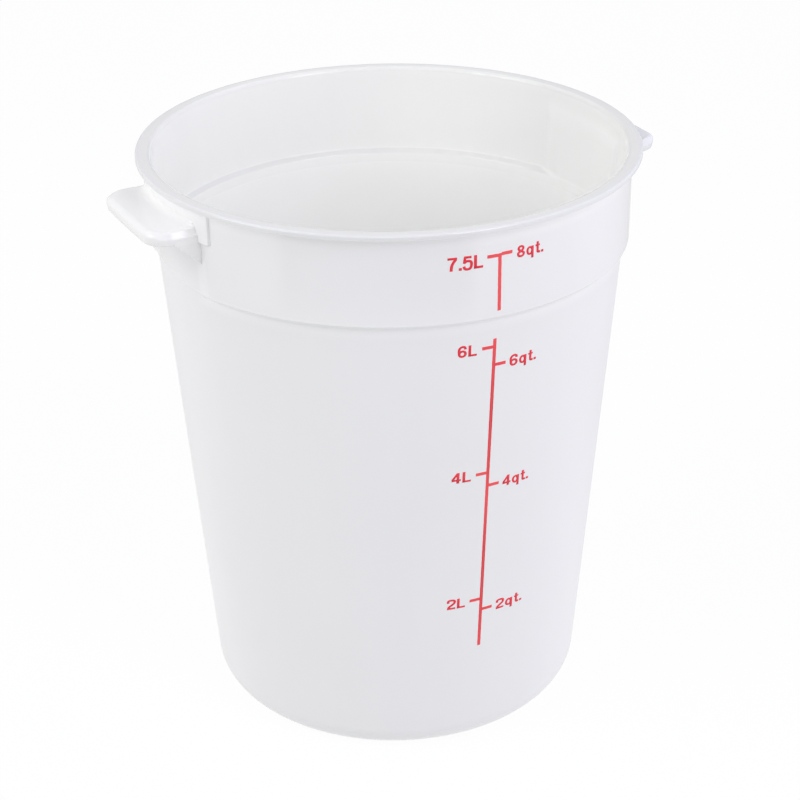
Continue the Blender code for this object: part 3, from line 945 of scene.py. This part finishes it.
def by_height(tree, which, height, ramps):
    """Product of height ramps, each (from, to, at from, at to): a value socket, or 1 if none."""
    product = 1.0
    for low, high, below, above in ramps:
        ramp = placed_group(tree, which, Height=height, Low=low, High=high, Below=below, Above=above)
        product = maths(tree, "MULTIPLY", ramp.outputs["Factor"], product)
    return product


def off_the_flats(tree, split, product, start, end):
    """The product up to start on either side of the middle, and 1 beyond end, on the flats."""
    clear = ramped(tree, maths(tree, "ABSOLUTE", split.outputs["X"], 0.0), start, end, 1.0, 0.0)
    change = maths(tree, "MULTIPLY", maths(tree, "SUBTRACT", product, 1.0), clear)
    return maths(tree, "ADD", change, 1.0)


def white_plastic(name, groups, main, second, roughness, level, ramps, near_share=1.0, step=(),
                  deep=0.0, painted_shades=(), ledge=()):
    """Moulded white polyethylene: satin below a height and smoother above it, with fine grain.

    The painted glow (emission) that stands in for light through the thin wall is level x the share
    on this side x the height ramps x the ramps along the step, and deep is added to it at the floor.
    The tone is scaled by the painted shade ramps and, along the ledge, by the ramps of the ledge:
    painted shade.
    """
    satin, gloss, gloss_from = roughness
    finish, tree, shader, place = surface(name)
    split = tree.nodes.new("ShaderNodeSeparateXYZ")
    tree.links.new(place, split.inputs["Vector"])
    tone = placed_group(tree, groups["tone"], Vector=place, Main=(*main, 1), Second=(*second, 1))
    shaded = tree.nodes.new("ShaderNodeVectorMath")
    shaded.operation = "SCALE"
    tree.links.new(tone.outputs["Color"], shaded.inputs[0])
    height = split.outputs["Z"]
    # Painted shade: the tone is darkened by height at the top of the inner rim and along the ledge
    shade = maths(tree, "MULTIPLY", 1.0, by_height(tree, groups["ramp"], height, painted_shades))
    if ledge:
        product = by_height(tree, groups["ramp"], height, ledge)
        shade = maths(tree, "MULTIPLY", shade, off_the_flats(tree, split, product, *LEDGE_END))
    tree.links.new(shade, shaded.inputs["Scale"])
    tree.links.new(shaded.outputs["Vector"], shader.inputs["Base Color"])
    marks = placed_group(tree, groups["marks"], Vector=place, Amount=WEAR)
    grain = placed_group(tree, groups["grain"], Vector=place, Scale=GRAIN_SCALE)
    base = ramped(tree, height, gloss_from - GLOSS_BORDER, gloss_from, satin, gloss)
    tree.links.new(maths(tree, "ADD", marks.outputs["Mask"], base), shader.inputs["Roughness"])
    shader.inputs["IOR"].default_value = PLASTIC_IOR
    # Painted glow: emission standing in for light through the wall, raised at the foot, under the
    # step and under the flange to lift the shade there
    light = placed_group(tree, groups["light"], Vector=place, Elsewhere=near_share)
    product = by_height(tree, groups["ramp"], height, ramps)
    through = maths(tree, "MULTIPLY", light.outputs["Light"], product)
    if step:
        product = by_height(tree, groups["ramp"], height, step)
        through = maths(tree, "MULTIPLY", through, off_the_flats(tree, split, product, *STEP_END))
    if deep:
        through = maths(tree, "ADD", through, ramped(tree, height, 0.0, DEEP_TOP, deep, 0.0))
    tint = tree.nodes.new("ShaderNodeCombineXYZ")
    for label in "XYZ":
        tree.links.new(through, tint.inputs[label])
    tree.links.new(tint.outputs["Vector"], shader.inputs["Emission Color"])
    shader.inputs["Emission Strength"].default_value = level
    bumped(tree, shader, grain.outputs["Height"], GRAIN_STRENGTH, GRAIN_DEPTH)
    return finish


def red_print(name, groups, main, second):
    """Printed red ink: slightly uneven colour, matt, with the wall's grain showing through."""
    finish, tree, shader, place = surface(name)
    tone = placed_group(tree, groups["tone"], Vector=place, Main=(*main, 1), Second=(*second, 1))
    tree.links.new(tone.outputs["Color"], shader.inputs["Base Color"])
    marks = placed_group(tree, groups["marks"], Vector=place, Amount=INK_WEAR)
    roughness = maths(tree, "ADD", marks.outputs["Mask"], INK_ROUGHNESS)
    tree.links.new(roughness, shader.inputs["Roughness"])
    grain = placed_group(tree, groups["grain"], Vector=place, Scale=INK_GRAIN_SCALE)
    bumped(tree, shader, grain.outputs["Height"], INK_GRAIN_STRENGTH, GRAIN_DEPTH)
    return finish


# Studio


def make_floor():
    """White floor that shows white, keeps a soft shadow, and has a grey card lying far in front.

    It is one triangle round a circle of radius FLOOR_REACH, and clear from below. Only mirror-like
    reflections see the card: it begins CARD_NEAR from the axis and spans CARD_HALF to each side of
    the bearing CARD_BEARING.
    """
    mesh = bpy.data.meshes.new("studio_floor")
    half_side = FLOOR_REACH * math.sqrt(3)
    corners = [(-half_side, -FLOOR_REACH, -FLOOR_DROP), (half_side, -FLOOR_REACH, -FLOOR_DROP),
               (0, 2 * FLOOR_REACH, -FLOOR_DROP)]
    mesh.from_pydata(corners, [], [(0, 1, 2)])
    floor = bpy.data.objects.new("studio_floor", mesh)
    bpy.context.scene.collection.objects.link(floor)
    finish, tree, shader, place = surface("studio_white")
    shader.inputs["Roughness"].default_value = 0.9
    shader.inputs["Specular IOR Level"].default_value = 0.0
    path = tree.nodes.new("ShaderNodeLightPath")
    tone = tree.nodes.new("ShaderNodeMix")
    tone.data_type = "RGBA"
    tree.links.new(path.outputs["Is Camera Ray"], tone.inputs["Factor"])
    tone.inputs["A"].default_value = FLOOR_TONE
    tone.inputs["B"].default_value = FLOOR_TONE_SEEN
    tree.links.new(tone.outputs["Result"], shader.inputs["Base Color"])
    length = tree.nodes.new("ShaderNodeVectorMath")
    length.operation = "LENGTH"
    tree.links.new(place, length.inputs[0])
    reach_out = length.outputs["Value"]
    bearing = (math.cos(CARD_BEARING), math.sin(CARD_BEARING), 0)
    facing = maths(tree, "DIVIDE", dotted(tree, place, bearing), reach_out)
    inside = ramped(tree, facing, math.cos(CARD_HALF + CARD_EDGE), math.cos(CARD_HALF - CARD_EDGE))
    beyond = ramped(tree, reach_out, *(CARD_NEAR + step for step in CARD_BORDER))
    card = maths(tree, "MULTIPLY", inside, beyond)
    rear = ramped(tree, facing, *REAR_FADE)
    shown = maths(tree, "SUBTRACT", 1.0, maths(tree, "MULTIPLY", card, CARD_DARKNESS))
    shown = maths(tree, "SUBTRACT", shown, maths(tree, "MULTIPLY", rear, REAR_DARKNESS))
    reflected = tree.nodes.new("ShaderNodeEmission")
    tree.links.new(shown, reflected.inputs["Strength"])
    white = tree.nodes.new("ShaderNodeEmission")
    mirrored, lit, sided = (tree.nodes.new("ShaderNodeMixShader") for _ in range(3))
    tree.links.new(path.outputs["Is Glossy Ray"], mirrored.inputs["Fac"])
    tree.links.new(shader.outputs["BSDF"], mirrored.inputs[1])
    tree.links.new(reflected.outputs["Emission"], mirrored.inputs[2])
    camera_share = maths(tree, "MULTIPLY", path.outputs["Is Camera Ray"], SEEN_SHARE)
    diffuse_share = maths(tree, "MULTIPLY", path.outputs["Is Diffuse Ray"], LIT_SHARE)
    tree.links.new(maths(tree, "ADD", camera_share, diffuse_share), lit.inputs["Fac"])
    seen_glow = maths(tree, "MULTIPLY", path.outputs["Is Camera Ray"], SEEN_GLOW)
    tree.links.new(maths(tree, "ADD", seen_glow, FLOOR_GLOW), white.inputs["Strength"])
    tree.links.new(mirrored.outputs["Shader"], lit.inputs[1])
    tree.links.new(white.outputs["Emission"], lit.inputs[2])
    clear = tree.nodes.new("ShaderNodeBsdfTransparent")
    geometry = tree.nodes.new("ShaderNodeNewGeometry")
    tree.links.new(geometry.outputs["Backfacing"], sided.inputs["Fac"])
    tree.links.new(lit.outputs["Shader"], sided.inputs[1])
    tree.links.new(clear.outputs["BSDF"], sided.inputs[2])
    tree.links.new(sided.outputs["Shader"], tree.nodes["Material Output"].inputs["Surface"])
    mesh.materials.append(finish)


def make_world():
    """Soft surround: darkest in front, brighter to both sides, coolest on the right.

    The sum of the side and rear levels goes over into the dome's level with the height, and that
    into the level overhead. The camera sees plain white.
    """
    world = bpy.data.worlds.new("studio_surround")
    world.use_nodes = True
    bpy.context.scene.world = world
    tree = world.node_tree
    background = tree.nodes["Background"]
    direction = tree.nodes.new("ShaderNodeTexCoord").outputs["Generated"]
    sideways = dotted(tree, direction, RIGHTWARDS)
    backwards = dotted(tree, direction, BACKWARDS)
    upwards = dotted(tree, direction, UPWARDS)
    right = ramped(tree, sideways, *SIDE_RANGE, FRONT_LEVEL, RIGHT_LEVEL)
    left = ramped(tree, sideways, -SIDE_RANGE[1], -SIDE_RANGE[0], LEFT_LEVEL - FRONT_LEVEL, 0.0)
    rear = ramped(tree, backwards, *REAR_RANGE, 0.0, REAR_LEVEL - FRONT_LEVEL)
    level = maths(tree, "ADD", maths(tree, "ADD", right, left), rear)
    level = maths(tree, "MULTIPLY", level, ramped(tree, upwards, *DOME_RANGE, 1.0, 0.0))
    level = maths(tree, "ADD", level, ramped(tree, upwards, *DOME_RANGE, 0.0, DOME_LEVEL))
    top = ramped(tree, upwards, *TOP_RANGE, 0.0, TOP_LEVEL - DOME_LEVEL)
    level = maths(tree, "ADD", level, top)
    tree.links.new(level, background.inputs["Strength"])
    tint = tree.nodes.new("ShaderNodeMix")
    tint.data_type = "RGBA"
    tree.links.new(ramped(tree, sideways, *TINT_RANGE), tint.inputs["Factor"])
    tint.inputs["A"].default_value = LEFT_TINT
    tint.inputs["B"].default_value = RIGHT_TINT
    tree.links.new(tint.outputs["Result"], background.inputs["Color"])
    white = tree.nodes.new("ShaderNodeBackground")
    white.inputs["Color"].default_value = (1, 1, 1, 1)
    white.inputs["Strength"].default_value = 1.0
    mix = tree.nodes.new("ShaderNodeMixShader")
    path = tree.nodes.new("ShaderNodeLightPath")
    tree.links.new(path.outputs["Is Camera Ray"], mix.inputs["Fac"])
    tree.links.new(background.outputs["Background"], mix.inputs[1])
    tree.links.new(white.outputs["Background"], mix.inputs[2])
    tree.links.new(mix.outputs["Shader"], tree.nodes["World Output"].inputs["Surface"])


def make_lamp(name, bearing, width, height, power, colour):
    """Upright soft box at a bearing round the part, tilted towards it."""
    light = bpy.data.lights.new(name, "AREA")
    light.shape = "RECTANGLE"
    light.size = width
    light.size_y = height
    light.energy = power
    light.color = colour
    place = Vector((LAMP_REACH * math.cos(bearing), LAMP_REACH * math.sin(bearing), LAMP_HEIGHT))
    lamp = bpy.data.objects.new(name, light)
    lamp.location = place
    lamp.rotation_euler = (Vector(LAMP_AIM) - place).to_track_quat("-Z", "Y").to_euler()
    bpy.context.scene.collection.objects.link(lamp)


def make_camera():
    """Camera of the photograph, turned a little about its own line of sight."""
    lens = bpy.data.cameras.new("camera")
    lens.lens = CAMERA_LENS
    lens.sensor_width = 36
    lens.clip_start = 0.01
    camera = bpy.data.objects.new("camera", lens)
    place, aim = Vector(CAMERA_PLACE), Vector(CAMERA_AIM)
    facing = (aim - place).to_track_quat("-Z", "Y").to_matrix().to_4x4()
    camera.matrix_world = Matrix.Translation(place) @ facing @ Matrix.Rotation(CAMERA_ROLL, 4, "Z")
    bpy.context.scene.collection.objects.link(camera)
    bpy.context.scene.camera = camera


def main():
    """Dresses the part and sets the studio."""
    groups = {"grain": moulded_grain_group(), "tone": tone_drift_group(),
              "marks": handling_group(), "ramp": height_ramp_group(),
              "light": wall_light_group()}
    whites = {name: white_plastic(name, groups, **finish) for name, finish in WHITES.items()}
    inks = {name: red_print(name, groups, *tones) for name, tones in INKS.items()}
    make_bucket(whites["outer_white"], whites["inner_white"])
    make_handles(whites["handle_white"], whites["far_handle_painted_shade"])
    make_scale_lines(inks["printed_red"])
    for name, label in LABELS.items():
        make_label(name, *label, inks["printed_deep_red"])
    make_floor()
    make_world()
    for name, settings in LAMPS.items():
        make_lamp(name, *settings)
    make_camera()
    bpy.context.scene.view_settings.view_transform = "Standard"


main()
